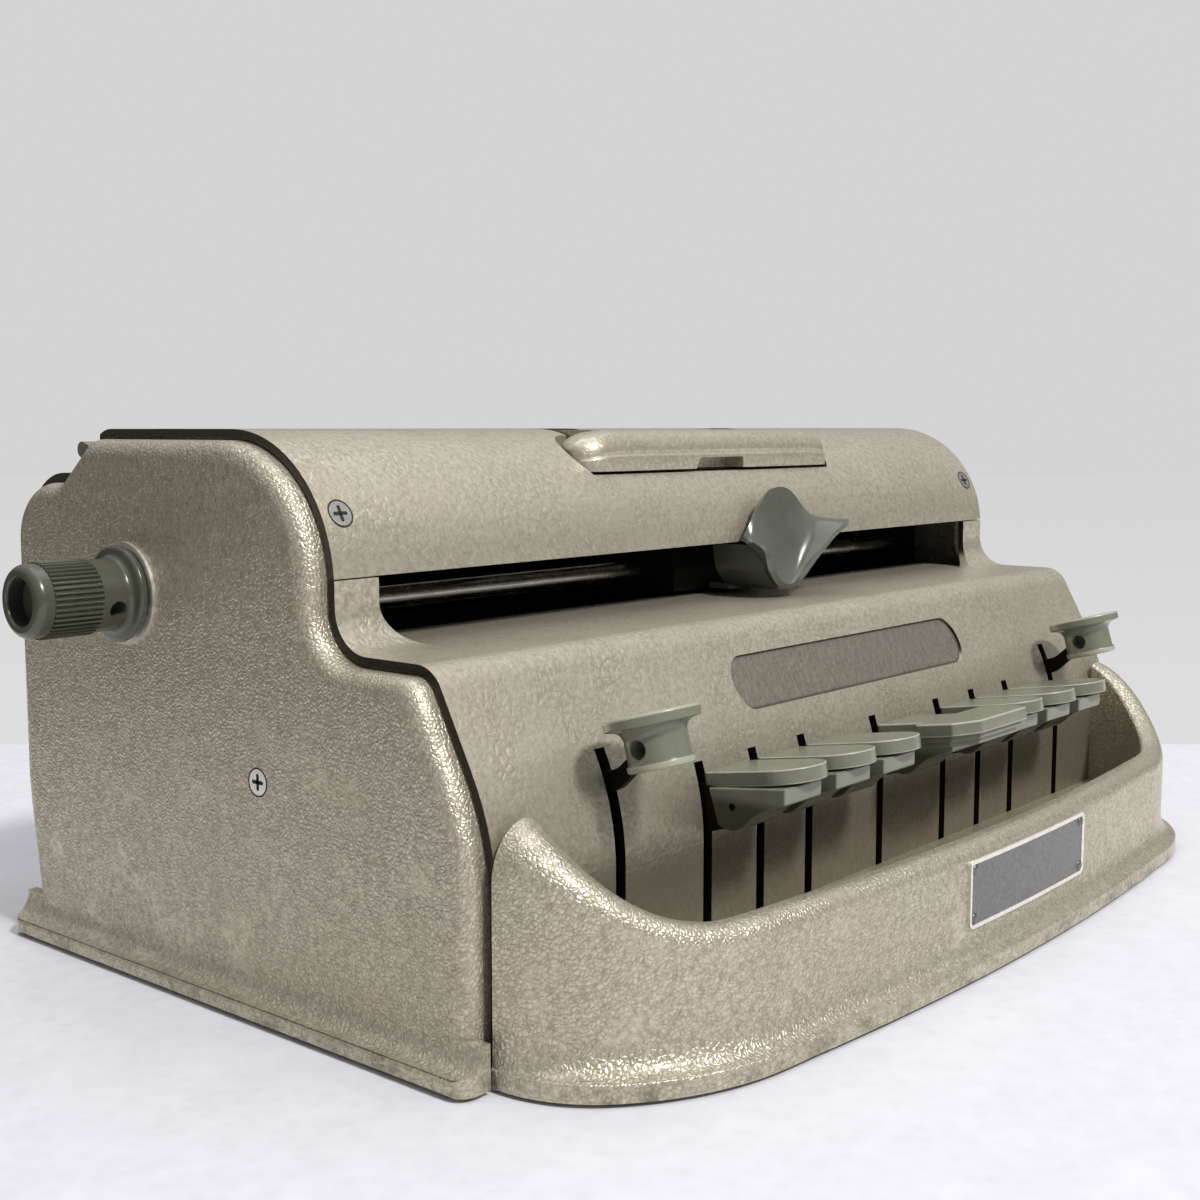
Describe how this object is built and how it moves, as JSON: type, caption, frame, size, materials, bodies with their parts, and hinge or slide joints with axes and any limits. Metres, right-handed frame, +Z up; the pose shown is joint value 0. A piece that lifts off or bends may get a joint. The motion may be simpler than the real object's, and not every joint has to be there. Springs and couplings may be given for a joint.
{
  "type": "manual braille writer",
  "caption": "Manual braille writer with hinged dot, space, line and back keys, sliding embossing carriage, feed roller knobs, margin stops and folding handle.",
  "frame": {"origin": "on the resting surface, under the middle of the whole machine", "axes": "+X to the typist's right along the roller, +Y from the typist to the back, +Z up"},
  "size_m": [0.3936, 0.232, 0.1427],
  "materials": {
    "hammertone_enamel": "warm grey-beige hammertone enamel on metal, satin",
    "key_plastic": "grey-green semi-gloss moulded plastic",
    "lever_steel": "dark oiled steel strip",
    "dark_steel": "blackened steel",
    "bright_steel": "polished steel",
    "brass": "dull brass",
    "black_rubber": "matt black rubber",
    "roller_rubber": "dark ground rubber",
    "label_aluminium": "satin plate, bare, with a plain border"
  },
  "bodies": {
    "root": {"left_end_panel": "hammertone_enamel", "right_end_panel": "hammertone_enamel", "front_panel": "hammertone_enamel", "top_cover": "hammertone_enamel", "rear_cover": "hammertone_enamel", "key_tray": "hammertone_enamel", "label_plate": "label_aluminium", "pivot_pins": "bright_steel", "casing_screws": "bright_steel", "bottom_plate": "dark_steel", "rubber_feet": "black_rubber", "right_side_frame": "dark_steel", "left_side_frame": "dark_steel", "frame_cross_rods": "bright_steel", "key_fulcrum_shaft": "bright_steel", "key_return_springs": "bright_steel", "carriage_rack": "dark_steel", "paper_guides": "dark_steel", "bell": "brass", "feed_bushes": "bright_steel"},
    "dot_3_key": {"dot_3_lever": "lever_steel", "dot_3_key_top": "key_plastic"},
    "bar_3": {"embossing_bar_3": "dark_steel"},
    "dot_2_key": {"dot_2_lever": "lever_steel", "dot_2_key_top": "key_plastic"},
    "bar_2": {"embossing_bar_2": "dark_steel"},
    "dot_1_key": {"dot_1_lever": "lever_steel", "dot_1_key_top": "key_plastic"},
    "bar_1": {"embossing_bar_1": "dark_steel"},
    "dot_4_key": {"dot_4_lever": "lever_steel", "dot_4_key_top": "key_plastic"},
    "bar_4": {"embossing_bar_4": "dark_steel"},
    "dot_5_key": {"dot_5_lever": "lever_steel", "dot_5_key_top": "key_plastic"},
    "bar_5": {"embossing_bar_5": "dark_steel"},
    "dot_6_key": {"dot_6_lever": "lever_steel", "dot_6_key_top": "key_plastic"},
    "bar_6": {"embossing_bar_6": "dark_steel"},
    "space_key": {"space_lever": "lever_steel", "space_key_top": "key_plastic"},
    "line_space_key": {"line_space_lever": "lever_steel", "line_space_key_top": "key_plastic"},
    "backspace_key": {"backspace_lever": "lever_steel", "backspace_key_top": "key_plastic"},
    "embossing_carriage": {"carriage_block": "dark_steel", "embossing_pins": "brass", "embossing_head": "dark_steel", "carriage_lever": "key_plastic"},
    "mainspring_barrel": {"mainspring_drum": "dark_steel"},
    "feed_shaft": {"feed_roller": "roller_rubber", "left_feed_knob": "key_plastic", "right_feed_knob": "key_plastic", "ratchet_wheel": "bright_steel"},
    "paper_release": {"release_arms": "dark_steel", "release_levers": "key_plastic"},
    "pressure_shaft": {"pressure_roller": "roller_rubber"},
    "handle": {"carry_handle": "hammertone_enamel"},
    "left_margin": {"left_margin_stop": "dark_steel"},
    "right_margin": {"right_margin_stop": "dark_steel"},
    "hammer": {"bell_hammer": "dark_steel"}
  },
  "joints": [
    {"name": "dot_3_press", "type": "hinge", "parent": "root", "child": "dot_3_key", "pos_m": [-0.0843, -0.008, 0.04], "axis": [1, 0, 0], "range_deg": [0, 8], "stiffness_Nm_per_rad": 0.5, "springref_deg": -9.17},
    {"name": "bar_3_lift", "type": "slide", "parent": "root", "child": "bar_3", "axis": [0, 0, 1], "range_m": [0, 0.00166]},
    {"name": "dot_2_press", "type": "hinge", "parent": "root", "child": "dot_2_key", "pos_m": [-0.061, -0.008, 0.04], "axis": [1, 0, 0], "range_deg": [0, 8], "stiffness_Nm_per_rad": 0.5, "springref_deg": -9.17},
    {"name": "bar_2_lift", "type": "slide", "parent": "root", "child": "bar_2", "axis": [0, 0, 1], "range_m": [0, 0.00214]},
    {"name": "dot_1_press", "type": "hinge", "parent": "root", "child": "dot_1_key", "pos_m": [-0.0378, -0.008, 0.04], "axis": [1, 0, 0], "range_deg": [0, 8], "stiffness_Nm_per_rad": 0.5, "springref_deg": -9.17},
    {"name": "bar_1_lift", "type": "slide", "parent": "root", "child": "bar_1", "axis": [0, 0, 1], "range_m": [0, 0.00263]},
    {"name": "dot_4_press", "type": "hinge", "parent": "root", "child": "dot_4_key", "pos_m": [0.0378, -0.008, 0.04], "axis": [1, 0, 0], "range_deg": [0, 8], "stiffness_Nm_per_rad": 0.5, "springref_deg": -9.17},
    {"name": "bar_4_lift", "type": "slide", "parent": "root", "child": "bar_4", "axis": [0, 0, 1], "range_m": [0, 0.00312]},
    {"name": "dot_5_press", "type": "hinge", "parent": "root", "child": "dot_5_key", "pos_m": [0.061, -0.008, 0.04], "axis": [1, 0, 0], "range_deg": [0, 8], "stiffness_Nm_per_rad": 0.5, "springref_deg": -9.17},
    {"name": "bar_5_lift", "type": "slide", "parent": "root", "child": "bar_5", "axis": [0, 0, 1], "range_m": [0, 0.00361]},
    {"name": "dot_6_press", "type": "hinge", "parent": "root", "child": "dot_6_key", "pos_m": [0.0843, -0.008, 0.04], "axis": [1, 0, 0], "range_deg": [0, 8], "stiffness_Nm_per_rad": 0.5, "springref_deg": -9.17},
    {"name": "bar_6_lift", "type": "slide", "parent": "root", "child": "bar_6", "axis": [0, 0, 1], "range_m": [0, 0.0041]},
    {"name": "space_press", "type": "hinge", "parent": "root", "child": "space_key", "pos_m": [0, -0.008, 0.04], "axis": [1, 0, 0], "range_deg": [0, 8], "stiffness_Nm_per_rad": 0.5, "springref_deg": -9.17},
    {"name": "line_space_press", "type": "hinge", "parent": "root", "child": "line_space_key", "pos_m": [-0.1186, -0.008, 0.04], "axis": [1, 0, 0], "range_deg": [0, 8], "stiffness_Nm_per_rad": 0.5, "springref_deg": -9.17},
    {"name": "backspace_press", "type": "hinge", "parent": "root", "child": "backspace_key", "pos_m": [0.1186, -0.008, 0.04], "axis": [1, 0, 0], "range_deg": [0, 8], "stiffness_Nm_per_rad": 0.5, "springref_deg": -9.17},
    {"name": "carriage_slide", "type": "slide", "parent": "root", "child": "embossing_carriage", "axis": [1, 0, 0], "range_m": [-0.126, 0.11]},
    {"name": "mainspring_turn", "type": "hinge", "parent": "root", "child": "mainspring_barrel", "pos_m": [0.1555, 0.026, 0.06], "axis": [1, 0, 0], "range_deg": [-216, 189]},
    {"name": "feed_turn", "type": "hinge", "parent": "root", "child": "feed_shaft", "pos_m": [0, 0.0595, 0.1005], "axis": [1, 0, 0], "continuous": true},
    {"name": "release_pull", "type": "hinge", "parent": "root", "child": "paper_release", "pos_m": [0, 0.08, 0.112], "axis": [1, 0, 0], "range_deg": [0, 15]},
    {"name": "pressure_turn", "type": "hinge", "parent": "paper_release", "child": "pressure_shaft", "pos_m": [0, 0.0595, 0.0831], "axis": [1, 0, 0], "continuous": true},
    {"name": "handle_swing", "type": "hinge", "parent": "root", "child": "handle", "pos_m": [-0.00325, 0.041, 0.1365], "axis": [-1, 0, 0], "range_deg": [0, 90]},
    {"name": "left_margin_slide", "type": "slide", "parent": "root", "child": "left_margin", "axis": [1, 0, 0], "range_m": [-0.018, 0.088]},
    {"name": "right_margin_slide", "type": "slide", "parent": "root", "child": "right_margin", "axis": [1, 0, 0], "range_m": [-0.088, 0.026]},
    {"name": "hammer_swing", "type": "hinge", "parent": "root", "child": "hammer", "pos_m": [-0.154, 0.044, 0.09], "axis": [-1, 0, 0], "range_deg": [-4, 2]}
  ],
  "couplings": [
    {"joint": "bar_3_lift", "follows": "dot_3_press", "m_per_rad": 0.011},
    {"joint": "bar_2_lift", "follows": "dot_2_press", "m_per_rad": 0.0145},
    {"joint": "bar_1_lift", "follows": "dot_1_press", "m_per_rad": 0.018},
    {"joint": "bar_4_lift", "follows": "dot_4_press", "m_per_rad": 0.0215},
    {"joint": "bar_5_lift", "follows": "dot_5_press", "m_per_rad": 0.025},
    {"joint": "bar_6_lift", "follows": "dot_6_press", "m_per_rad": 0.0285},
    {"joint": "mainspring_turn", "follows": "carriage_slide", "rad_per_m": 29.41},
    {"joint": "pressure_turn", "follows": "feed_turn", "ratio": -1.4286}
  ]
}
